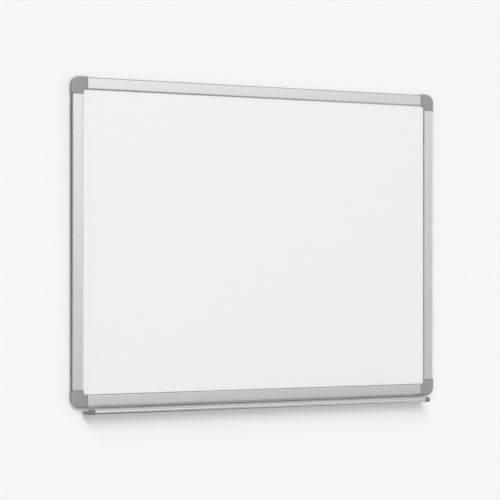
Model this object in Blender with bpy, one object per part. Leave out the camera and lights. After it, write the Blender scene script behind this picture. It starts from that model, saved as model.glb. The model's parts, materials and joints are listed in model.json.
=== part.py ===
"""A wall-hung magnetic whiteboard: a thin steel-faced panel in a frame of four aluminium extrusions,
with moulded corners and a pen tray that slides in the bottom rail's groove.

Units are metres. X runs to the right, Z up, and the front faces -Y. The wall is the plane Y = 0.
The origin lies on the rear face of the top rail, at the middle of its length.
"""

import math

import bmesh
import bpy
from mathutils import Vector

# Board
BOARD_WIDTH = 1.200
BOARD_HEIGHT = 0.900
FRAME_FACE = 0.035
FRAME_DEPTH = 0.0165

# Gaps, cuts and arcs: points nearer than SAME_PLACE count as one
REST_GAP = 0.0003
CUT_OVERRUN = 0.002
SAME_PLACE = 0.00003
QUARTER_STEPS = 8
FULL_TURN = 2 * math.pi
QUARTER_TURN = math.pi / 2
SMOOTH_ANGLE = math.radians(30)

# Rail extrusion: places across the face are from its outer side, places in depth from its rear face
RAIL_WALL = 0.0013
EDGE_FLAT = 0.0011
LIP_EDGE = 0.0002
REAR_CHAMFER = 0.0008
SLOT_PLACE = 0.0061
SLOT_MOUTH = 0.0066
SLOT_WIDTH = 0.0088
SLOT_ROOM = 0.0022
CHANNEL_PLACE = 0.009
CHANNEL_WIDTH = 0.009
CHANNEL_DEPTH = 0.0035
INNER_FOOT = 0.0043
FLANGE_PLACE = 0.0012

# Panel: a core between two steel sheets, the front one SHEET_DEPTH behind the frame's front
SHEET_DEPTH = 0.0045
SHEET_THICKNESS = 0.0005
BACKING_THICKNESS = 0.0003
PANEL_EDGE_PLAY = 0.0007

# Corner cover, a snap-on shell that stands a little proud of the rails
COVER_LEG = 0.0475
COVER_PROUD = 0.0007
COVER_RADIUS = 0.025
COVER_INNER_RADIUS = 0.009
COVER_EDGE_ROUND = 0.0055
COVER_LIP_ROUND = 0.004
COVER_END_ROUND = 0.0012
COVER_FACE_WALL = 0.0018
COVER_WALL = 0.0016
COVER_POST_DIAMETER = 0.005
COVER_POST_PLACE = 0.031
COVER_POST_DEPTH = 0.0105

# Corner joint, the moulding that the rails plug on to and the wall screw goes through
JOINT_FRONT_DEPTH = 0.0062
JOINT_POCKET_WALL = 0.0024
JOINT_FLOOR = 0.0028
JOINT_RIB = 0.002
SPIGOT_LENGTH = 0.026
SPIGOT_ROOT = 0.009
KEY_LENGTH = 0.024
WALL_SCREW_PLACE = 0.0145
WALL_SCREW_HOLE = 0.0055
WALL_SCREW_SINK = 0.0105
WALL_SCREW_SINK_DEPTH = 0.003

# Screws that hold the rails on the joints' spigots
SCREW_PLACE = 0.014
SCREW_SHANK = 0.0039
SCREW_REACH = 0.0075
SCREW_HEAD = 0.007
SCREW_HEAD_HEIGHT = 0.0022
SCREW_HEAD_CROWN = 0.0006
SCREW_HEAD_TOP = 0.0047
SCREW_POINT = 0.0004
SCREW_RECESS = 0.0034
SCREW_RECESS_WIDTH = 0.0009
SCREW_RECESS_DEPTH = 0.0012
SCREW_STEPS = 16

# Pen tray: drops are below the frame's lower edge, and the dip is a groove behind the rounded nose
TRAY_END_INSET = 0.037
TRAY_DEPTH = 0.0506
TRAY_DROP = 0.018
TRAY_WALL = 0.0013
TRAY_REAR_GAP = 0.0008
TRAY_REAR_EDGE = 0.0018
TRAY_FLOOR_REAR_DROP = 0.0112
TRAY_FLOOR_FRONT_DROP = 0.0084
TRAY_DIP_DROP = 0.0094
TRAY_DIP_WIDTH = 0.0045
TRAY_NOSE_RADIUS = 0.007
TRAY_NOSE_BACK = 0.0051
TRAY_UNDER_FLAT = 0.0228
TRAY_HOLLOW_START = 0.0095
TRAY_TRAVEL = 0.020
HOOK_WEB = 0.0015
HOOK_LEAN = 0.006
END_CAP_LENGTH = 0.0166
END_CAP_PLUG = 0.014
END_CAP_ROUND = 0.0007

# Places that follow from the sizes above
FRONT_Y = -FRAME_DEPTH
SLOT_CENTRE_DEPTH = FRAME_DEPTH - SLOT_PLACE
EDGE_ROUND = SLOT_CENTRE_DEPTH - SLOT_MOUTH / 2 - EDGE_FLAT
FOOT_CENTRE = (REAR_CHAMFER + CHANNEL_PLACE) / 2
WEB_PLACE = CHANNEL_PLACE + CHANNEL_WIDTH + INNER_FOOT - RAIL_WALL
TOP_Z = FOOT_CENTRE
BOTTOM_Z = TOP_Z - BOARD_HEIGHT
SIDE_X = BOARD_WIDTH / 2
CORNERS = {
    "top_left": (-1, 1),
    "top_right": (1, 1),
    "bottom_left": (-1, -1),
    "bottom_right": (1, -1),
}


# Materials
def material(name, colour, metallic, roughness):
    made = bpy.data.materials.new(name)
    made.use_nodes = True
    shader = made.node_tree.nodes["Principled BSDF"]
    shader.inputs["Base Color"].default_value = (*colour, 1.0)
    shader.inputs["Metallic"].default_value = metallic
    shader.inputs["Roughness"].default_value = roughness
    return made


# Sections and solids
def arc(centre, radius, start, end, steps=QUARTER_STEPS):
    """Points on an arc, from one angle to another, both ends included."""
    return [
        (
            centre[0] + radius * math.cos(start + (end - start) * i / steps),
            centre[1] + radius * math.sin(start + (end - start) * i / steps),
        )
        for i in range(steps + 1)
    ]


def rectangle(low, high):
    return [low, (high[0], low[1]), high, (low[0], high[1])]


def signed_area(outline):
    return sum(
        outline[i - 1][0] * outline[i][1] - outline[i][0] * outline[i - 1][1] for i in range(len(outline))
    )


def inset(outline, amount):
    """The outline with every side moved inwards by the same amount."""
    turn = math.copysign(1, signed_area(outline))
    moved = []
    for i, here in enumerate(outline):
        before = Vector(here) - Vector(outline[i - 1])
        after = Vector(outline[(i + 1) % len(outline)]) - Vector(here)
        n1 = Vector((-before.y, before.x)).normalized() * turn
        n2 = Vector((-after.y, after.x)).normalized() * turn
        corner = Vector(here) + (n1 + n2) * amount / (1 + n1.dot(n2))
        moved.append((corner.x, corner.y))
    return moved


def prism(loops, place, start, end):
    """A solid between two ends of a run, whose section is the first loop less the others.

    place turns (across, depth, along) into a point of the board, and the run is along X, Y or Z.
    """
    bm = bmesh.new()
    edges = []
    for loop in loops:
        verts = [bm.verts.new(place(across, depth, start)) for across, depth in loop]
        edges += [bm.edges.new((verts[i - 1], verts[i])) for i in range(len(verts))]
    filled = bmesh.ops.triangle_fill(bm, use_beauty=True, use_dissolve=False, edges=edges)
    faces = [g for g in filled["geom"] if isinstance(g, bmesh.types.BMFace)]
    grown = bmesh.ops.extrude_face_region(bm, geom=faces)
    far = [g for g in grown["geom"] if isinstance(g, bmesh.types.BMVert)]
    near_point = place(0, 0, start)
    far_point = place(0, 0, end)
    axis = max(range(3), key=lambda i: abs(far_point[i] - near_point[i]))
    for vert in far:
        vert.co[axis] = far_point[axis]
    bmesh.ops.recalc_face_normals(bm, faces=bm.faces)
    return bm


def rounded_prism(outline, place, start, end, rounding, steps=QUARTER_STEPS // 2):
    """A prism whose far end is rounded off by rings of the outline, each drawn in a little more."""
    side = math.copysign(1, end - start)
    turns = [QUARTER_TURN * i / steps for i in range(steps + 1)]
    rings = [(start, 0)]
    rings += [(end - side * rounding * (1 - math.sin(a)), rounding * (1 - math.cos(a))) for a in turns]
    bm = bmesh.new()
    rows = []
    for along, amount in rings:
        rows.append([bm.verts.new(place(*point, along)) for point in inset(outline, amount)])
    for near, far in zip(rows, rows[1:]):
        for i in range(len(near)):
            bm.faces.new((near[i - 1], near[i], far[i], far[i - 1]))
    bm.faces.new(rows[0])
    bm.faces.new(rows[-1])
    bmesh.ops.recalc_face_normals(bm, faces=bm.faces)
    return bm


def make_object(name, bm, origin=(0, 0, 0)):
    """Turn a bmesh in the board's coordinates into an object with its origin at a given point."""
    bmesh.ops.translate(bm, verts=bm.verts, vec=-Vector(origin))
    mesh = bpy.data.meshes.new(name)
    bm.to_mesh(mesh)
    bm.free()
    made = bpy.data.objects.new(name, mesh)
    made.location = origin
    bpy.context.scene.collection.objects.link(made)
    return made


def combine(target, other, operation):
    """Cut another solid out of the target, or join it on."""
    other.hide_render = True
    other.display_type = "WIRE"
    change = target.modifiers.new(other.name, "BOOLEAN")
    change.operation = operation
    change.solver = "EXACT"
    change.object = other


def dress(made, finish):
    made.data.materials.append(finish)
    made.data.shade_smooth()
    made.data.set_sharp_from_angle(angle=SMOOTH_ANGLE)


# Rails
def slot_bottom():
    """How deep the outer groove goes in from the rail's outer side."""
    return RAIL_WALL + SLOT_ROOM


def rail_outline():
    slot_front = SLOT_CENTRE_DEPTH - SLOT_WIDTH / 2
    slot_rear = SLOT_CENTRE_DEPTH + SLOT_WIDTH / 2
    mouth_front = SLOT_CENTRE_DEPTH - SLOT_MOUTH / 2
    mouth_rear = SLOT_CENTRE_DEPTH + SLOT_MOUTH / 2
    lip_back = SHEET_DEPTH - REST_GAP
    lip_round = lip_back - LIP_EDGE
    lip_centre = (FRAME_FACE - lip_round, lip_round)
    lip_steps = QUARTER_STEPS // 2
    web_inside = WEB_PLACE + RAIL_WALL
    flange_front = panel_back() + REST_GAP
    channel_end = CHANNEL_PLACE + CHANNEL_WIDTH
    channel_floor = FRAME_DEPTH - CHANNEL_DEPTH
    return [
        *arc((EDGE_ROUND, EDGE_ROUND), EDGE_ROUND, 2 * QUARTER_TURN, 3 * QUARTER_TURN),
        *arc(lip_centre, lip_round, -QUARTER_TURN, 0, lip_steps),
        (FRAME_FACE, lip_back),
        (FRAME_FACE - RAIL_WALL, lip_back),
        *arc(lip_centre, lip_round - RAIL_WALL, 0, -QUARTER_TURN, lip_steps),
        (web_inside, RAIL_WALL),
        (web_inside, flange_front),
        (FRAME_FACE, flange_front),
        (FRAME_FACE, flange_front + RAIL_WALL),
        (web_inside, flange_front + RAIL_WALL),
        (web_inside, FRAME_DEPTH),
        (channel_end, FRAME_DEPTH),
        (channel_end, channel_floor),
        (CHANNEL_PLACE, channel_floor),
        (CHANNEL_PLACE, FRAME_DEPTH),
        (REAR_CHAMFER, FRAME_DEPTH),
        (0, FRAME_DEPTH - REAR_CHAMFER),
        (0, mouth_rear),
        (RAIL_WALL, mouth_rear),
        (RAIL_WALL, slot_rear),
        (slot_bottom(), slot_rear),
        (slot_bottom(), slot_front),
        (RAIL_WALL, slot_front),
        (RAIL_WALL, mouth_front),
        (0, mouth_front),
    ]


def rail_chamber():
    """The closed hollow that runs through the rail, behind its face and on both sides of the channel."""
    inner_round = EDGE_ROUND - RAIL_WALL
    shelf = SLOT_CENTRE_DEPTH - SLOT_WIDTH / 2 - RAIL_WALL
    drop = EDGE_ROUND - shelf
    first = 2 * QUARTER_TURN + math.asin(drop / inner_round)
    floor_front = FRAME_DEPTH - CHANNEL_DEPTH - RAIL_WALL
    rear_wall = FRAME_DEPTH - RAIL_WALL
    channel_end = CHANNEL_PLACE + CHANNEL_WIDTH
    return [
        *arc((EDGE_ROUND, EDGE_ROUND), inner_round, first, 3 * QUARTER_TURN),
        (WEB_PLACE, RAIL_WALL),
        (WEB_PLACE, rear_wall),
        (channel_end + RAIL_WALL, rear_wall),
        (channel_end + RAIL_WALL, floor_front),
        (CHANNEL_PLACE - RAIL_WALL, floor_front),
        (CHANNEL_PLACE - RAIL_WALL, rear_wall),
        (slot_bottom() + RAIL_WALL, rear_wall),
        (slot_bottom() + RAIL_WALL, shelf),
    ]


def panel_back():
    """How deep the back of the panel lies."""
    return FRAME_DEPTH - FLANGE_PLACE - RAIL_WALL - REST_GAP


def core_thickness():
    """The core fills the room that the two steel sheets leave between the rail's lip and its flange."""
    return panel_back() - SHEET_DEPTH - SHEET_THICKNESS - BACKING_THICKNESS - 2 * REST_GAP


def corner_place(side, level):
    """Points of one corner, from distances in from the board's upright side and from its level side."""
    return lambda along_x, along_z, depth: (
        side * (SIDE_X - along_x),
        FRONT_Y + depth,
        (TOP_Z - along_z) if level > 0 else (BOTTOM_Z + along_z),
    )


def level_place(level):
    """Points of a top or bottom rail, from (across the face, depth, along X)."""
    return lambda across, depth, along: (
        along,
        FRONT_Y + depth,
        (TOP_Z - across) if level > 0 else (BOTTOM_Z + across),
    )


def upright_place(side):
    """Points of a left or right rail, from (across the face, depth, along Z)."""
    return lambda across, depth, along: (side * (SIDE_X - across), FRONT_Y + depth, along)


def cylinder(centre, radius, start_y, end_y, steps=SCREW_STEPS):
    """A round solid along Y, about the point (x, z), with no corner on an axis or a diagonal."""
    half_step = FULL_TURN / steps / 2
    ring = arc(centre, radius, half_step, FULL_TURN - half_step, steps - 1)
    return prism([ring], lambda x, z, y: (x, y, z), start_y, end_y)


def channel_middle():
    """How far in from the board's outer side the middle of the rear channel lies."""
    return CHANNEL_PLACE + CHANNEL_WIDTH / 2


def points_on_arms(place, along):
    """The (x, z) on each arm of a corner that lies over the channel, a distance along from the corner."""
    across = channel_middle()
    points = {}
    for arm, (along_x, along_z) in (("level", (along, across)), ("upright", (across, along))):
        x, _, z = place(along_x, along_z, 0)
        points[arm] = (x, z)
    return points


def rail(name, place, half_length, middle, finish):
    bm = prism([rail_outline(), rail_chamber()], place, middle - half_length, middle + half_length)
    made = make_object(name, bm, place(WEB_PLACE, 0, middle))
    hole_start = -CHANNEL_DEPTH - RAIL_WALL - CUT_OVERRUN
    hole_end = -CHANNEL_DEPTH + CUT_OVERRUN
    reach = half_length + REST_GAP - SCREW_PLACE
    for end in (-1, 1):
        x, _, z = place(channel_middle(), 0, middle + end * reach)
        hole = cylinder((x, z), SCREW_SHANK / 2 + REST_GAP, hole_start, hole_end)
        combine(made, make_object(f"{name}_screw_hole", hole), "DIFFERENCE")
    dress(made, finish)


def rails(finish):
    half_level = SIDE_X - COVER_LEG - REST_GAP
    half_upright = BOARD_HEIGHT / 2 - COVER_LEG - REST_GAP
    middle_z = (TOP_Z + BOTTOM_Z) / 2
    rail("rail_top", level_place(1), half_level, 0, finish)
    rail("rail_bottom", level_place(-1), half_level, 0, finish)
    rail("rail_left", upright_place(-1), half_upright, middle_z, finish)
    rail("rail_right", upright_place(1), half_upright, middle_z, finish)


# Panel
def panel(steel, board, zinc):
    edge = WEB_PLACE + RAIL_WALL + PANEL_EDGE_PLAY
    low = (-SIDE_X + edge, BOTTOM_Z + edge)
    high = (SIDE_X - edge, TOP_Z - edge)
    depth = SHEET_DEPTH
    for name, thickness, finish in (
        ("writing_sheet", SHEET_THICKNESS, steel),
        ("core_board", core_thickness(), board),
        ("backing_sheet", BACKING_THICKNESS, zinc),
    ):
        front = FRONT_Y + depth
        bm = prism([rectangle(low, high)], lambda x, z, y: (x, y, z), front, front + thickness)
        made = make_object(name, bm, (0, front, (TOP_Z + BOTTOM_Z) / 2))
        dress(made, finish)
        depth += thickness + REST_GAP


# Corner covers
def corner_outline(out, radius, inner, inner_radius, leg):
    """An L with a rounded outer corner and a fillet in its inner one.

    out is how far it stands outside the board's own corner, and leg is where both its ends lie.
    """
    outer = arc((radius, radius), radius + out, 3 * QUARTER_TURN, 2 * QUARTER_TURN, 2 * QUARTER_STEPS)
    points = [(leg, -out), *outer, (-out, leg), (inner, leg)]
    if inner_radius > 0:
        centre = (inner + inner_radius, inner + inner_radius)
        points += arc(centre, inner_radius, 2 * QUARTER_TURN, 3 * QUARTER_TURN)
    else:
        points.append((inner, inner))
    return [*points, (leg, inner)]


def cover_fillet():
    """The radius of the cover's inner corner, no larger than its arms have room for."""
    return min(COVER_INNER_RADIUS, COVER_LEG - FRAME_FACE - 2 * COVER_END_ROUND)


def drawn_in(rounding, depth):
    """How far an edge that is rounded off is drawn in, at a depth behind the front."""
    if depth >= rounding:
        return 0
    return rounding - math.sqrt(rounding**2 - (rounding - depth) ** 2)


def corner_shell(side, level, wall, front, back, leg, end_round, steps):
    """The cover's solid with all its sides moved in by a wall, as rings of its outline from front to back."""
    place = corner_place(side, level)
    edge_round = COVER_EDGE_ROUND - wall
    lip_round = COVER_LIP_ROUND - wall
    turns = [QUARTER_TURN * i / steps for i in range(steps + 1)]
    depths = {edge_round * (1 - math.cos(turn)) for turn in turns} | {lip_round, end_round, back - front}
    bm = bmesh.new()
    rows = []
    for depth in sorted(depths):
        inner = FRAME_FACE - wall - drawn_in(lip_round, depth)
        outline = corner_outline(
            COVER_PROUD - wall - drawn_in(edge_round, depth),
            COVER_RADIUS,
            inner,
            cover_fillet() + FRAME_FACE - inner,
            leg - drawn_in(end_round, depth),
        )
        rows.append([bm.verts.new(place(*point, front + depth)) for point in outline])
    for near, far in zip(rows, rows[1:]):
        for i in range(len(near)):
            bm.faces.new((near[i - 1], near[i], far[i], far[i - 1]))
    bm.faces.new(rows[0])
    bm.faces.new(rows[-1])
    bmesh.ops.recalc_face_normals(bm, faces=bm.faces)
    return bm


def corner_cover(corner, side, level, finish):
    place = corner_place(side, level)
    name = f"corner_cover_{corner}"
    back = FRAME_DEPTH - REST_GAP
    bm = corner_shell(side, level, 0, -COVER_PROUD, back, COVER_LEG, COVER_END_ROUND, QUARTER_STEPS)
    made = make_object(name, bm, place(COVER_RADIUS, COVER_RADIUS, 0))

    front = COVER_FACE_WALL - COVER_PROUD
    back = FRAME_DEPTH + CUT_OVERRUN
    leg = COVER_LEG + CUT_OVERRUN
    hollow = corner_shell(side, level, COVER_WALL, front, back, leg, 0, QUARTER_STEPS // 2)
    combine(made, make_object(f"{name}_hollow", hollow), "DIFFERENCE")

    room_end = COVER_LEG + 2 * CUT_OVERRUN
    outline = rectangle((WEB_PLACE, WEB_PLACE), (room_end, room_end))
    room = prism([outline], place, SHEET_DEPTH - REST_GAP, FRAME_DEPTH + 2 * CUT_OVERRUN)
    combine(made, make_object(f"{name}_panel_room", room), "DIFFERENCE")

    post_root = FRONT_Y + COVER_FACE_WALL / 2 - COVER_PROUD
    for arm, point in points_on_arms(place, COVER_POST_PLACE).items():
        post = cylinder(point, COVER_POST_DIAMETER / 2, post_root, FRONT_Y + COVER_POST_DEPTH)
        combine(made, make_object(f"{name}_post_{arm}", post), "UNION")
    dress(made, finish)


# Corner joints
def arm_box(place, level_arm, across, depth, along):
    """A box on one arm of a corner, from (low, high) pairs across the face, in depth and along the arm."""
    low, high = (across[0], depth[0]), (across[1], depth[1])
    if level_arm:
        return prism([rectangle(low, high)], lambda u, v, s: place(s, u, v), *along)
    return prism([rectangle(low, high)], lambda u, v, s: place(u, s, v), *along)


def joint_edge():
    """How far in from the board's side the joint's body begins, just inside the cover's wall."""
    return COVER_WALL - COVER_PROUD + REST_GAP


def joint_arms(name, made, place):
    """On each arm a spigot in the rail's chamber, a key in its groove and the key's strip in the mouth."""
    chamber_front = RAIL_WALL + REST_GAP
    chamber_back = FRAME_DEPTH - CHANNEL_DEPTH - RAIL_WALL - REST_GAP
    spigot_across = (max(slot_bottom() + RAIL_WALL, EDGE_ROUND) + REST_GAP, WEB_PLACE - REST_GAP)
    key_across = (RAIL_WALL + REST_GAP, slot_bottom() - REST_GAP)
    key_middle = (key_across[0] + key_across[1]) / 2
    key_half = SLOT_WIDTH / 2 - REST_GAP
    strip_half = SLOT_MOUTH / 2 - REST_GAP
    root = COVER_LEG - SPIGOT_ROOT
    key_end = COVER_LEG + KEY_LENGTH
    parts = {
        "spigot": (spigot_across, (chamber_front, chamber_back), (root, COVER_LEG + SPIGOT_LENGTH)),
        "key": (key_across, (SLOT_CENTRE_DEPTH - key_half, SLOT_CENTRE_DEPTH + key_half), (root, key_end)),
        "strip": (
            (0, key_middle),
            (SLOT_CENTRE_DEPTH - strip_half, SLOT_CENTRE_DEPTH + strip_half),
            (COVER_LEG + REST_GAP, key_end),
        ),
    }
    for level_arm in (True, False):
        for part, (across, depth, along) in parts.items():
            grown = arm_box(place, level_arm, across, depth, along)
            combine(made, make_object(f"{name}_{part}", grown), "UNION")


def joint_pockets(name, made, place):
    """Two pockets in the back of each arm, with a rib between them."""
    across = (joint_edge() + JOINT_POCKET_WALL, WEB_PLACE + RAIL_WALL - JOINT_POCKET_WALL)
    depth = (JOINT_FRONT_DEPTH + JOINT_FLOOR, FRAME_DEPTH + CUT_OVERRUN)
    start = WALL_SCREW_PLACE + WALL_SCREW_SINK / 2 + JOINT_POCKET_WALL
    end = COVER_LEG - JOINT_POCKET_WALL
    length = (end - start - JOINT_RIB) / 2
    for level_arm in (True, False):
        for low in (start, end - length):
            pocket = arm_box(place, level_arm, across, depth, (low, low + length))
            combine(made, make_object(f"{name}_pocket", pocket), "DIFFERENCE")


def joint_holes(name, made, place):
    """The wall screw's hole and sink, the sockets for the cover's posts and the rail screws' holes."""
    front_y = FRONT_Y + JOINT_FRONT_DEPTH
    start = front_y - CUT_OVERRUN
    x, _, z = place(WALL_SCREW_PLACE, WALL_SCREW_PLACE, 0)
    sink_end = front_y + WALL_SCREW_SINK_DEPTH
    hole = cylinder((x, z), WALL_SCREW_HOLE / 2, start, CUT_OVERRUN, 2 * SCREW_STEPS)
    sink = cylinder((x, z), WALL_SCREW_SINK / 2, start, sink_end, 2 * SCREW_STEPS)
    combine(made, make_object(f"{name}_wall_hole", hole), "DIFFERENCE")
    combine(made, make_object(f"{name}_wall_sink", sink), "DIFFERENCE")

    socket_radius = COVER_POST_DIAMETER / 2 + REST_GAP
    for point in points_on_arms(place, COVER_POST_PLACE).values():
        socket = cylinder(point, socket_radius, FRONT_Y, FRONT_Y + COVER_POST_DEPTH + REST_GAP)
        combine(made, make_object(f"{name}_socket", socket), "DIFFERENCE")

    screw_start = screw_tip_y() - REST_GAP
    screw_end = -CHANNEL_DEPTH - RAIL_WALL + CUT_OVERRUN
    for point in points_on_arms(place, COVER_LEG + SCREW_PLACE).values():
        hole = cylinder(point, SCREW_SHANK / 2 + REST_GAP, screw_start, screw_end)
        combine(made, make_object(f"{name}_screw_hole", hole), "DIFFERENCE")


def corner_joint(corner, side, level, finish):
    place = corner_place(side, level)
    name = f"corner_joint_{corner}"
    outline = corner_outline(-joint_edge(), COVER_RADIUS, WEB_PLACE + RAIL_WALL, 0, COVER_LEG)
    bm = prism([outline], place, JOINT_FRONT_DEPTH, FRAME_DEPTH)
    made = make_object(name, bm, place(WALL_SCREW_PLACE, WALL_SCREW_PLACE, FRAME_DEPTH))
    joint_arms(name, made, place)
    joint_pockets(name, made, place)
    joint_holes(name, made, place)
    dress(made, finish)


# Screws
def screw_seat_y():
    """Where a screw's head begins, just behind the floor of the rail's channel."""
    return -CHANNEL_DEPTH + REST_GAP


def screw_tip_y():
    return screw_seat_y() - SCREW_REACH


def screw(name, x, z):
    """A pan-head screw along Y, turned from its profile."""
    shank = SCREW_SHANK / 2
    head = SCREW_HEAD / 2
    profile = [
        (0, -SCREW_REACH),
        (shank - SCREW_POINT, -SCREW_REACH),
        (shank, SCREW_POINT - SCREW_REACH),
        (shank, 0),
        (head, 0),
        (head, SCREW_HEAD_HEIGHT - SCREW_HEAD_CROWN),
        (SCREW_HEAD_TOP / 2, SCREW_HEAD_HEIGHT),
        (0, SCREW_HEAD_HEIGHT),
    ]
    bm = bmesh.new()
    verts = [bm.verts.new((radius, along, 0)) for radius, along in profile]
    edges = [bm.edges.new(pair) for pair in zip(verts, verts[1:])]
    bmesh.ops.spin(
        bm,
        geom=[*verts, *edges],
        cent=(0, 0, 0),
        axis=(0, 1, 0),
        angle=FULL_TURN,
        steps=SCREW_STEPS,
        use_merge=False,
    )
    bmesh.ops.remove_doubles(bm, verts=bm.verts, dist=SAME_PLACE)
    bmesh.ops.recalc_face_normals(bm, faces=bm.faces)
    made = make_object(name, bm)
    made.location = (x, screw_seat_y(), z)
    return made


def cross_recess(name, x, z):
    """The cutter for a screw's cross recess."""
    arm = SCREW_RECESS / 2
    half = SCREW_RECESS_WIDTH / 2
    cross = []
    for turns in range(4):
        for a, b in ((arm, -half), (arm, half), (half, half)):
            for _ in range(turns):
                a, b = -b, a
            cross.append((x + a, z + b))
    top = screw_seat_y() + SCREW_HEAD_HEIGHT
    bm = prism([cross], lambda u, w, y: (u, y, w), top - SCREW_RECESS_DEPTH, top + CUT_OVERRUN)
    return make_object(name, bm)


def screws(corner, side, level, finish):
    """The two screws that hold the rails on one corner's spigots."""
    place = corner_place(side, level)
    for arm, (x, z) in points_on_arms(place, COVER_LEG + SCREW_PLACE).items():
        name = f"rail_screw_{corner}_{arm}"
        made = screw(name, x, z)
        combine(made, cross_recess(f"{name}_recess", x, z), "DIFFERENCE")
        dress(made, finish)


# Pen tray
def between(distance, first, second):
    """The height at a distance from the wall, on the straight line through two points."""
    share = (distance - first[0]) / (second[0] - first[0])
    return first[1] + (second[1] - first[1]) * share


def nose_middle():
    """How far from the wall the middle of the tray's rounded nose lies."""
    return TRAY_DEPTH - TRAY_NOSE_RADIUS


def dip_place():
    """How far from the wall the bottom of the tray's dip lies."""
    return nose_middle() - TRAY_NOSE_BACK


def tray_floor():
    """The two ends of the tray's sloping floor."""
    return (TRAY_REAR_GAP, -TRAY_FLOOR_REAR_DROP), (dip_place() - TRAY_DIP_WIDTH, -TRAY_FLOOR_FRONT_DROP)


def tray_outline(rear=TRAY_REAR_GAP):
    """The tray's section without its hook: (distance from the wall, height above the frame's lower edge).

    rear is where the section begins, so that the hollow can begin where the wedge is thick enough.
    """
    floor_rear, floor_front = tray_floor()
    under_rear = (TRAY_REAR_GAP, -TRAY_FLOOR_REAR_DROP - TRAY_REAR_EDGE)
    under_front = (nose_middle() - TRAY_UNDER_FLAT, -TRAY_DROP)
    nose = (nose_middle(), TRAY_NOSE_RADIUS - TRAY_DROP)
    return [
        (rear, between(rear, floor_rear, floor_front)),
        (rear, between(rear, under_rear, under_front)),
        under_front,
        *arc(nose, TRAY_NOSE_RADIUS, -QUARTER_TURN, QUARTER_TURN, 2 * QUARTER_STEPS),
        (dip_place(), -TRAY_DIP_DROP),
        floor_front,
    ]


def tray_place(distance, height, along):
    return along, -distance, BOTTOM_Z + height


def web_outline():
    """The web on the tray's floor, which leans back towards the groove and stays just under the covers."""
    web = HOOK_WEB / 2
    top = -COVER_PROUD - REST_GAP
    foot = SLOT_PLACE + HOOK_LEAN
    root = between(foot, *tray_floor()) - TRAY_WALL / 2
    return [
        (foot - web, root),
        (foot + web, root),
        (SLOT_PLACE + web, top),
        (SLOT_PLACE - web, top),
    ]


def hook_outline():
    """The hook on the web: a stem that starts in the middle of the web, with a head inside the groove."""
    web = HOOK_WEB / 2
    head = SLOT_WIDTH / 2 - REST_GAP
    head_low = RAIL_WALL + REST_GAP
    head_high = slot_bottom() - REST_GAP
    root_rear, _, top_front, top_rear = web_outline()
    middle = ((root_rear[0] + top_front[0]) / 2, (root_rear[1] + top_front[1]) / 2)
    return [
        middle,
        top_front,
        (SLOT_PLACE + web, head_low),
        (SLOT_PLACE + head, head_low),
        (SLOT_PLACE + head, head_high),
        (SLOT_PLACE - head, head_high),
        (SLOT_PLACE - head, head_low),
        (SLOT_PLACE - web, head_low),
        top_rear,
    ]


def tray_chamber():
    """The hollow between the tray's floor and its underside."""
    return inset(tray_outline(TRAY_HOLLOW_START - TRAY_WALL), TRAY_WALL)


def pen_tray(aluminium, dark_plastic, slide):
    tray_end = SIDE_X - TRAY_END_INSET
    half = tray_end - END_CAP_LENGTH
    bm = prism([tray_outline(), tray_chamber()], tray_place, -half, half)
    tray = make_object("pen_tray", bm)
    web = make_object("pen_tray_web", prism([web_outline()], tray_place, -half, half))
    combine(tray, web, "UNION")
    hook_half = SIDE_X - COVER_LEG - KEY_LENGTH - TRAY_TRAVEL - REST_GAP
    hook = make_object("pen_tray_hook", prism([hook_outline()], tray_place, -hook_half, hook_half))
    combine(tray, hook, "UNION")
    dress(tray, aluminium)
    tray.parent = slide
    tray.matrix_parent_inverse = slide.matrix_basis.inverted()
    for side, word in ((-1, "left"), (1, "right")):
        start = side * (half + REST_GAP)
        cap_bm = rounded_prism(tray_outline(), tray_place, start, side * tray_end, END_CAP_ROUND)
        cap = make_object(f"tray_end_cap_{word}", cap_bm)
        plug_outline = inset(tray_chamber(), REST_GAP)
        plug = prism([plug_outline], tray_place, start + side * CUT_OVERRUN, side * (half - END_CAP_PLUG))
        combine(cap, make_object(f"tray_end_cap_{word}_plug", plug), "UNION")
        dress(cap, dark_plastic)
        cap.parent = slide
        cap.matrix_parent_inverse = slide.matrix_basis.inverted()


def build():
    for old in list(bpy.data.objects):
        bpy.data.objects.remove(old, do_unlink=True)

    aluminium = material("anodised_aluminium", (0.72, 0.73, 0.74), 1.0, 0.38)
    grey_plastic = material("grey_plastic", (0.31, 0.31, 0.315), 0.0, 0.5)
    dark_plastic = material("dark_grey_plastic", (0.17, 0.17, 0.175), 0.0, 0.5)
    enamel = material("white_enamel", (0.88, 0.88, 0.88), 0.0, 0.12)
    board = material("board_core", (0.45, 0.32, 0.2), 0.0, 0.85)
    zinc = material("galvanised_steel", (0.6, 0.62, 0.63), 1.0, 0.45)
    steel = material("zinc_plated_screw", (0.65, 0.65, 0.63), 1.0, 0.3)

    rails(aluminium)
    panel(enamel, board, zinc)
    for corner, (side, level) in CORNERS.items():
        corner_joint(corner, side, level, grey_plastic)
        corner_cover(corner, side, level, grey_plastic)
        screws(corner, side, level, steel)

    slide = bpy.data.objects.new("tray_slide", None)
    slide.location = (0, -SLOT_PLACE, BOTTOM_Z + slot_bottom() / 2)
    bpy.context.scene.collection.objects.link(slide)
    bpy.context.view_layer.update()
    pen_tray(aluminium, dark_plastic, slide)


build()
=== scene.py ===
"""Looks of a wall-hung magnetic whiteboard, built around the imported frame.

Lengths are metres. The wall is the plane Y = 0, the board's front faces -Y, and +Z is up.
"""

import json
import math

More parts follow.
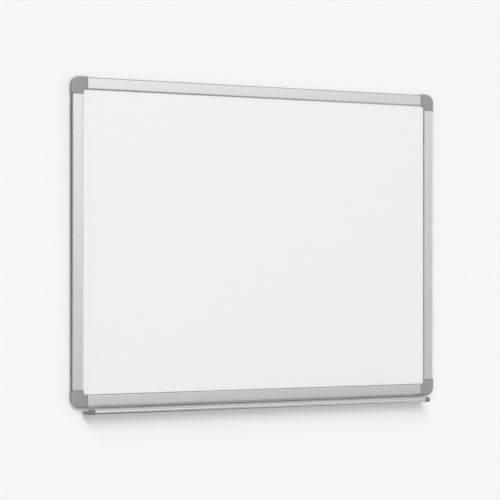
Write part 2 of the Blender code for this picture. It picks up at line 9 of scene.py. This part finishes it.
import bpy
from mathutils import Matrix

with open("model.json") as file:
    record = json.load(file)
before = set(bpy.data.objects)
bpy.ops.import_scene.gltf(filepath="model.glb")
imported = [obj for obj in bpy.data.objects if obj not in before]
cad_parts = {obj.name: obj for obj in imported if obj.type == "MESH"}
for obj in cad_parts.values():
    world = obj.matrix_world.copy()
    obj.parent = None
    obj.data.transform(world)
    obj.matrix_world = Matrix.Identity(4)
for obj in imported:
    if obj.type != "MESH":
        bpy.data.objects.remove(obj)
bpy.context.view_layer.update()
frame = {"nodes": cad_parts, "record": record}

# Camera: in front of the board to its left, held level and turned to the right
CAMERA_PLACE = (-3.043, -5.079, -0.531)
CAMERA_TURN = math.radians(30.67)
CAMERA_LENS = 149.04
CAMERA_SENSOR = 36.0
CAMERA_SHIFT = 0.0472

# Stage: a large pale room
WALL_BEHIND = 0.0006
FLOOR_Z = -1.95
ROOM_HALF = 40.0
ROOM_HEIGHT = 20.0
WALL_COLOUR = 0.918
FLOOR_COLOUR = 0.83
FAR_COLOUR = 0.97

# Light: a dark dome with soft pools of light on it. Each pool has an azimuth in degrees from
# straight in front of the board towards +X, an elevation in degrees, the cosine of the angle from
# its middle at which it begins, and the level in its middle
DOME_POOLS = {
    "key": (-45, 45, 0.94, 4.3),
    "high": (-11, 30, 0.94, 6.2),
    "glow": (22, 17, 0.91, 1.2),
    "front": (-7, -19, 0.03, 0.48),
    "low_left": (-37, -15, 0.94, 1.15),
    "side_left": (-92, -28, 0.94, 7.2),
    "right_fill": (60, -2, 0.94, 1.75),
    "side_right": (77, -41, 0.94, 2.05),
    "right_rim": (150, 34, 0.0, 1.28),
    "lower_rear": (-175, -45, 0.91, 2.1),
}

# Colours
RAIL_METAL = (0.725, 0.725, 0.725)
TRAY_METAL = (0.80, 0.80, 0.80)
GREY_PLASTIC = (0.275, 0.275, 0.275)
# Dark grey plastic of a real part, kept this dark so that it also stands in for the shade in the
# gap between the bottom rail and the pen tray
DARK_PLASTIC_AND_GAP_SHADE = (0.17, 0.17, 0.17)
ENAMEL_WHITE = (0.86, 0.86, 0.86)
GALVANISED_GREY = (0.60, 0.615, 0.625)
FIBRE_BROWN = (0.45, 0.32, 0.20)
ZINC_GREY = (0.66, 0.665, 0.66)

# Gloss: a plain roughness, and the low and high end of what the pattern makes of it
METAL_GLOSS = (0.30, 0.24, 0.36)
PLASTIC_GLOSS = (0.46, 0.40, 0.54)
ENAMEL_GLOSS = (0.16, 0.11, 0.22)
GALVANISED_GLOSS = (0.42, 0.34, 0.50)
ZINC_GLOSS = (0.28, 0.22, 0.38)
FIBRE_ROUGHNESS = 0.85
PLASTIC_SPECULAR = 1.0

# Scales of the patterns, per metre. Where there are three, they are for X, Y and Z
DIE_LINES, DIE_LINES_ALONG = 700.0, 3.0
DIE_BANDS, DIE_BANDS_ALONG = 60.0, 1.5
METAL_ETCH = 2600.0
PLASTIC_GRAIN = 1500.0
PLASTIC_CLOUD = 35.0
ENAMEL_WIPES = (5.0, 5.0, 22.0)
ENAMEL_PEEL = 280.0
SPANGLES = 70.0
SPANGLE_STRETCH = (1.0, 1.0, 1.3)
SHEET_WAVES = 6.0
FIBRES = (300.0, 900.0, 300.0)
ZINC_HAZE = 900.0

# Painted shade: dark lines along the inner lip of the frame and round the covers' ends, where the
# parts meet
LIP_SHADE_WIDTH = 0.0016
LIP_SHADE = 0.5
COVER_SHADE_WIDTH = 0.0022
COVER_SHADE = 0.68
LINE_FADE = 0.0005

# Edges of the CAD pieces
WELD_DISTANCE = 0.00001
FLAT_ANGLE = math.radians(0.4)
EDGE_ANGLE = math.radians(35)
EDGE_SEGMENTS = 2
EDGE_WIDTH = {
    "anodised_aluminium": 0.00015,
    "grey_plastic": 0.0002,
    "dark_grey_plastic": 0.0002,
    "white_enamel": 0.0001,
    "board_core": 0.0002,
    "galvanised_steel": 0.0001,
    "zinc_plated_steel": 0.0001,
}
NORMAL_WEIGHT = 50

# Nodes that face each other, with the axis from the first to the second. The rails are listed
# under the axis that they run along
X, Z = 0, 2
RAIL_PAIRS = {X: ("rail_bottom", "rail_top", Z), Z: ("rail_left", "rail_right", X)}
COVER_PAIRS = (
    ("corner_cover_top_left", "corner_cover_top_right", X),
    ("corner_cover_bottom_left", "corner_cover_top_left", Z),
)


# Camera and stage
def make_camera():
    data = bpy.data.cameras.new("camera")
    data.lens = CAMERA_LENS
    data.sensor_width = CAMERA_SENSOR
    data.shift_y = CAMERA_SHIFT
    camera = bpy.data.objects.new("camera", data)
    camera.location = CAMERA_PLACE
    camera.rotation_euler = (math.radians(90), 0, -CAMERA_TURN)
    bpy.context.scene.collection.objects.link(camera)
    bpy.context.scene.camera = camera


def paint(name, colour):
    """A plain matt surface that is clear from behind."""
    material = bpy.data.materials.new(name)
    material.use_nodes = True
    nodes, links = material.node_tree.nodes, material.node_tree.links
    nodes.clear()
    output = nodes.new("ShaderNodeOutputMaterial")
    mix = nodes.new("ShaderNodeMixShader")
    clear = nodes.new("ShaderNodeBsdfTransparent")
    matt = nodes.new("ShaderNodeBsdfDiffuse")
    matt.inputs["Color"].default_value = (colour, colour, colour, 1)
    side = nodes.new("ShaderNodeNewGeometry")
    links.new(side.outputs["Backfacing"], mix.inputs["Fac"])
    links.new(matt.outputs[0], mix.inputs[1])
    links.new(clear.outputs[0], mix.inputs[2])
    links.new(mix.outputs[0], output.inputs["Surface"])
    return material


def plane(name, corners, material):
    """A flat piece of the stage, which shows the shadow and leaves the dome's light as it is."""
    mesh = bpy.data.meshes.new(name)
    mesh.from_pydata(corners, [], [range(len(corners))])
    mesh.materials.append(material)
    made = bpy.data.objects.new(name, mesh)
    bpy.context.scene.collection.objects.link(made)
    made.visible_diffuse = False
    made.visible_glossy = False
    made.visible_transmission = False
    made.visible_shadow = False


def upright_plane(name, start, end, material):
    """A plane over a line on the floor, with its face on the line's left."""
    top = FLOOR_Z + ROOM_HEIGHT
    plane(name, [(*start, FLOOR_Z), (*start, top), (*end, top), (*end, FLOOR_Z)], material)


def make_stage():
    """The floor, the wall that the board hangs on, and the far walls of the room."""
    half = ROOM_HALF
    corners = [(-half, -half), (half, -half), (half, half), (-half, half)]
    plane("floor", [(*corner, FLOOR_Z) for corner in corners], paint("floor_paint", FLOOR_COLOUR))
    wall_paint = paint("wall_paint", WALL_COLOUR)
    upright_plane("wall", (half, WALL_BEHIND), (-half, WALL_BEHIND), wall_paint)
    far_paint = paint("far_paint", FAR_COLOUR)
    upright_plane("far_left", corners[3], corners[0], far_paint)
    upright_plane("far_rear", corners[0], corners[1], far_paint)
    upright_plane("far_right", corners[1], corners[2], far_paint)


# Light
def towards(azimuth, elevation):
    """The unit vector at an azimuth from -Y towards +X and an elevation, both in degrees."""
    azimuth, elevation = math.radians(azimuth), math.radians(elevation)
    level = math.cos(elevation)
    return (math.sin(azimuth) * level, -math.cos(azimuth) * level, math.sin(elevation))


def make_world():
    """The dome with its pools."""
    world = bpy.data.worlds.new("studio")
    bpy.context.scene.world = world
    world.use_nodes = True
    nodes, links = world.node_tree.nodes, world.node_tree.links
    nodes.clear()
    output = nodes.new("ShaderNodeOutputWorld")
    dome = nodes.new("ShaderNodeBackground")
    dome.inputs["Color"].default_value = (1, 1, 1, 1)
    direction = nodes.new("ShaderNodeTexCoord")
    light = nodes.new("ShaderNodeValue").outputs[0]
    light.default_value = 0.0
    for name, (azimuth, elevation, begins, level) in DOME_POOLS.items():
        cosine = nodes.new("ShaderNodeVectorMath")
        cosine.operation = "DOT_PRODUCT"
        cosine.inputs[1].default_value = towards(azimuth, elevation)
        pool = nodes.new("ShaderNodeMapRange")
        pool.label = name
        pool.interpolation_type = "SMOOTHSTEP"
        pool.inputs["From Min"].default_value = begins
        pool.inputs["To Max"].default_value = level
        total = nodes.new("ShaderNodeMath")
        links.new(direction.outputs["Generated"], cosine.inputs[0])
        links.new(cosine.outputs["Value"], pool.inputs["Value"])
        links.new(pool.outputs["Result"], total.inputs[0])
        links.new(light, total.inputs[1])
        light = total.outputs[0]
    links.new(light, dome.inputs["Strength"])
    links.new(dome.outputs[0], output.inputs["Surface"])


# Materials
def shade(colour, factor):
    return tuple(channel * factor for channel in colour)


class Graph:
    """A Principled material and short ways to add nodes to it."""

    def __init__(self, name, colour, metallic, roughness):
        self.material = bpy.data.materials.new(name)
        self.material.use_nodes = True
        self.nodes = self.material.node_tree.nodes
        self.links = self.material.node_tree.links
        self.shader = self.nodes["Principled BSDF"]
        self.shader.inputs["Base Color"].default_value = (*colour, 1)
        self.shader.inputs["Metallic"].default_value = metallic
        self.shader.inputs["Roughness"].default_value = roughness
        self.place = self.nodes.new("ShaderNodeTexCoord").outputs["Object"]

    def stretched(self, scale):
        """Object coordinates, scaled on each axis."""
        mapping = self.nodes.new("ShaderNodeMapping")
        mapping.inputs["Scale"].default_value = scale
        self.links.new(self.place, mapping.inputs["Vector"])
        return mapping.outputs["Vector"]

    def along_axis(self, axis):
        """The object coordinate on one axis."""
        axes = self.nodes.new("ShaderNodeSeparateXYZ")
        self.links.new(self.place, axes.inputs[0])
        return axes.outputs[axis]

    def noise(self, vector, scale=1.0, detail=2.0, roughness=0.5):
        node = self.nodes.new("ShaderNodeTexNoise")
        node.inputs["Scale"].default_value = scale
        node.inputs["Detail"].default_value = detail
        node.inputs["Roughness"].default_value = roughness
        self.links.new(vector, node.inputs["Vector"])
        return node.outputs["Fac"]

    def cells(self, vector, scale):
        """A random shade for each cell of a Voronoi pattern."""
        node = self.nodes.new("ShaderNodeTexVoronoi")
        node.inputs["Scale"].default_value = scale
        self.links.new(vector, node.inputs["Vector"])
        return node.outputs["Color"]

    def maths(self, operation, value, other=0.0):
        node = self.nodes.new("ShaderNodeMath")
        node.operation = operation
        node.inputs[1].default_value = other
        self.links.new(value, node.inputs[0])
        return node.outputs[0]

    def progress(self, value, start, end):
        """How far a value has come from a start to an end, from 0 to 1."""
        node = self.nodes.new("ShaderNodeMapRange")
        node.inputs["From Min"].default_value = start
        node.inputs["From Max"].default_value = end
        self.links.new(value, node.inputs["Value"])
        return node.outputs["Result"]

    def spread(self, value, low, high):
        """A 0 to 1 value as one between two levels."""
        node = self.nodes.new("ShaderNodeMapRange")
        node.inputs["To Min"].default_value = low
        node.inputs["To Max"].default_value = high
        self.links.new(value, node.inputs["Value"])
        return node.outputs["Result"]

    def turn_to(self, value, colour):
        """A mix that turns to a colour by a 0 to 1 value. What it turns from is still to be set."""
        node = self.nodes.new("ShaderNodeMix")
        node.data_type = "RGBA"
        node.inputs["B"].default_value = (*colour, 1)
        self.links.new(value, node.inputs["Factor"])
        return node

    def mottle(self, value, colour, low, high):
        """A colour times a factor, which goes from low to high by a 0 to 1 value."""
        node = self.turn_to(value, shade(colour, high))
        node.inputs["A"].default_value = (*shade(colour, low), 1)
        return node.outputs["Result"]

    def darken(self, value, tone, dark):
        """A linked colour that turns into a dark one by a 0 to 1 value."""
        node = self.turn_to(value, dark)
        self.links.new(tone, node.inputs["A"])
        return node.outputs["Result"]

    def bump(self, value, strength, distance, under=None):
        node = self.nodes.new("ShaderNodeBump")
        node.inputs["Strength"].default_value = strength
        node.inputs["Distance"].default_value = distance
        self.links.new(value, node.inputs["Height"])
        if under is not None:
            self.links.new(under, node.inputs["Normal"])
        return node.outputs["Normal"]

    def use(self, name, value):
        self.links.new(value, self.shader.inputs[name])


def between(low_node, high_node, axis):
    """The middle and half the width of the space between two nodes along an axis."""
    low = max(corner[axis] for corner in frame["nodes"][low_node].bound_box)
    high = min(corner[axis] for corner in frame["nodes"][high_node].bound_box)
    return (low + high) / 2, (high - low) / 2


def edge_shade_mask(graph, low_node, high_node, axis, width):
    """1 on the edges that two nodes turn to each other along an axis, and 0 past a line's width."""
    middle, half = between(low_node, high_node, axis)
    outward = graph.maths("ABSOLUTE", graph.maths("SUBTRACT", graph.along_axis(axis), middle))
    return graph.progress(outward, half + width, half + width - LINE_FADE)


def anodised_aluminium(name, colour, along):
    """Satin silver anodised extrusion, with fine die lines along X or Z."""
    plain, *gloss = METAL_GLOSS
    graph = Graph(name, colour, metallic=1.0, roughness=plain)
    fine, broad = [DIE_LINES] * 3, [DIE_BANDS] * 3
    fine[along], broad[along] = DIE_LINES_ALONG, DIE_BANDS_ALONG
    lines = graph.noise(graph.stretched(fine), detail=3.0, roughness=0.6)
    bands = graph.noise(graph.stretched(broad))
    etch = graph.noise(graph.place, METAL_ETCH)
    # Painted shade along the inner lip: the metal darkens on the edges that face the board's
    # opening
    lip = edge_shade_mask(graph, *RAIL_PAIRS[along], LIP_SHADE_WIDTH)
    tone = graph.mottle(bands, colour, low=0.965, high=1.03)
    graph.use("Base Color", graph.darken(lip, tone, shade(colour, LIP_SHADE)))
    graph.use("Roughness", graph.spread(lines, *gloss))
    under = graph.bump(etch, strength=0.04, distance=0.00004)
    graph.use("Normal", graph.bump(lines, strength=0.05, distance=0.00005, under=under))
    return graph.material


def moulded_plastic(name, colour, cover=False):
    """Grained moulded plastic. On a corner cover, painted shade darkens the ends of both legs."""
    plain, *gloss = PLASTIC_GLOSS
    graph = Graph(name, colour, metallic=0.0, roughness=plain)
    graph.shader.inputs["Specular IOR Level"].default_value = PLASTIC_SPECULAR
    grain = graph.noise(graph.place, PLASTIC_GRAIN)
    cloud = graph.noise(graph.place, PLASTIC_CLOUD, detail=3.0)
    tone = graph.mottle(cloud, colour, low=0.95, high=1.05)
    if cover:
        for pair in COVER_PAIRS:
            # Painted shade where the cover's legs end against the rails
            ends = edge_shade_mask(graph, *pair, COVER_SHADE_WIDTH)
            tone = graph.darken(ends, tone, shade(colour, COVER_SHADE))
    graph.use("Base Color", tone)
    graph.use("Roughness", graph.spread(grain, *gloss))
    graph.use("Normal", graph.bump(grain, strength=0.22, distance=0.00006))
    return graph.material


def white_enamel():
    """Glossy white lacquer on steel, with a faint orange peel and wiping marks in its gloss."""
    plain, *gloss = ENAMEL_GLOSS
    graph = Graph("white_enamel", ENAMEL_WHITE, metallic=0.0, roughness=plain)
    wipes = graph.noise(graph.stretched(ENAMEL_WIPES), detail=4.0, roughness=0.6)
    peel = graph.noise(graph.place, ENAMEL_PEEL)
    graph.use("Base Color", graph.mottle(wipes, ENAMEL_WHITE, low=0.994, high=1.006))
    graph.use("Roughness", graph.spread(wipes, *gloss))
    graph.use("Normal", graph.bump(peel, strength=0.05, distance=0.00008))
    return graph.material


def galvanised_steel():
    """Zinc-coated sheet with soft spangles."""
    plain, *gloss = GALVANISED_GLOSS
    graph = Graph("galvanised_steel", GALVANISED_GREY, metallic=1.0, roughness=plain)
    cells = graph.cells(graph.stretched(SPANGLE_STRETCH), SPANGLES)
    waves = graph.noise(graph.place, SHEET_WAVES, detail=3.0)
    graph.use("Base Color", graph.mottle(cells, GALVANISED_GREY, low=0.88, high=1.08))
    graph.use("Roughness", graph.spread(cells, *gloss))
    graph.use("Normal", graph.bump(waves, strength=0.05, distance=0.0004))
    return graph.material


def board_core():
    """Raw fibre board."""
    graph = Graph("board_core", FIBRE_BROWN, metallic=0.0, roughness=FIBRE_ROUGHNESS)
    fibres = graph.noise(graph.stretched(FIBRES), detail=4.0, roughness=0.7)
    graph.use("Base Color", graph.mottle(fibres, FIBRE_BROWN, low=0.8, high=1.2))
    graph.use("Normal", graph.bump(fibres, strength=0.3, distance=0.0002))
    return graph.material


def zinc_plated_steel():
    """Bright zinc plate with a slight haze."""
    plain, *gloss = ZINC_GLOSS
    graph = Graph("zinc_plated_steel", ZINC_GREY, metallic=1.0, roughness=plain)
    haze = graph.noise(graph.place, ZINC_HAZE, detail=3.0)
    graph.use("Base Color", graph.mottle(haze, ZINC_GREY, low=0.9, high=1.08))
    graph.use("Roughness", graph.spread(haze, *gloss))
    return graph.material


# Pieces
def shading_group():
    """Geometry nodes that drop the stored normals and shade every face smooth."""
    group = bpy.data.node_groups.new("smooth_shading", "GeometryNodeTree")
    group.interface.new_socket("Mesh", in_out="INPUT", socket_type="NodeSocketGeometry")
    group.interface.new_socket("Mesh", in_out="OUTPUT", socket_type="NodeSocketGeometry")
    start = group.nodes.new("NodeGroupInput")
    plain = group.nodes.new("GeometryNodeSetMeshNormal")
    plain.inputs["Remove Custom"].default_value = True
    smooth = group.nodes.new("GeometryNodeSetShadeSmooth")
    end = group.nodes.new("NodeGroupOutput")
    group.links.new(start.outputs[0], plain.inputs["Mesh"])
    group.links.new(plain.outputs["Mesh"], smooth.inputs["Geometry"])
    group.links.new(smooth.outputs["Geometry"], end.inputs[0])
    return group


def round_edges(node, width, shading):
    """Join the facets, take the sharpness off the edges, and shade what is round as round."""
    weld = node.modifiers.new("weld", "WELD")
    weld.merge_threshold = WELD_DISTANCE
    flats = node.modifiers.new("flats", "DECIMATE")
    flats.decimate_type = "DISSOLVE"
    flats.angle_limit = FLAT_ANGLE
    bevel = node.modifiers.new("edges", "BEVEL")
    bevel.limit_method = "ANGLE"
    bevel.angle_limit = EDGE_ANGLE
    bevel.width = width
    bevel.segments = EDGE_SEGMENTS
    smooth = node.modifiers.new("smooth", "NODES")
    smooth.node_group = shading
    even = node.modifiers.new("even", "WEIGHTED_NORMAL")
    even.weight = NORMAL_WEIGHT


def make_finishes():
    """The material of each slot, and of each metal node by its name."""
    level_metal = anodised_aluminium("anodised_aluminium_x", RAIL_METAL, X)
    upright_metal = anodised_aluminium("anodised_aluminium_z", RAIL_METAL, Z)
    metals = {
        "rail_top": level_metal,
        "rail_bottom": level_metal,
        "rail_left": upright_metal,
        "rail_right": upright_metal,
        "pen_tray": anodised_aluminium("anodised_aluminium_tray", TRAY_METAL, X),
    }
    finishes = {
        "grey_plastic": moulded_plastic("grey_plastic", GREY_PLASTIC),
        "dark_grey_plastic": moulded_plastic("dark_grey_plastic", DARK_PLASTIC_AND_GAP_SHADE),
        "white_enamel": white_enamel(),
        "galvanised_steel": galvanised_steel(),
        "board_core": board_core(),
        "zinc_plated_steel": zinc_plated_steel(),
    }
    return finishes, metals


def dress_nodes():
    finishes, metals = make_finishes()
    cover_plastic_with_end_shade = moulded_plastic("cover_plastic_with_end_shade", GREY_PLASTIC, cover=True)
    shading = shading_group()
    for part in frame["record"]["subparts"]:
        name, slot = part["node"], part["material_slot"]
        node = frame["nodes"][name]
        if slot == "anodised_aluminium":
            finish = metals[name]
        elif name.startswith("corner_cover"):
            finish = cover_plastic_with_end_shade
        else:
            finish = finishes[slot]
        node.material_slots[0].material = finish
        round_edges(node, EDGE_WIDTH[slot], shading)


bpy.context.scene.view_settings.view_transform = "Standard"
make_camera()
make_stage()
make_world()
dress_nodes()
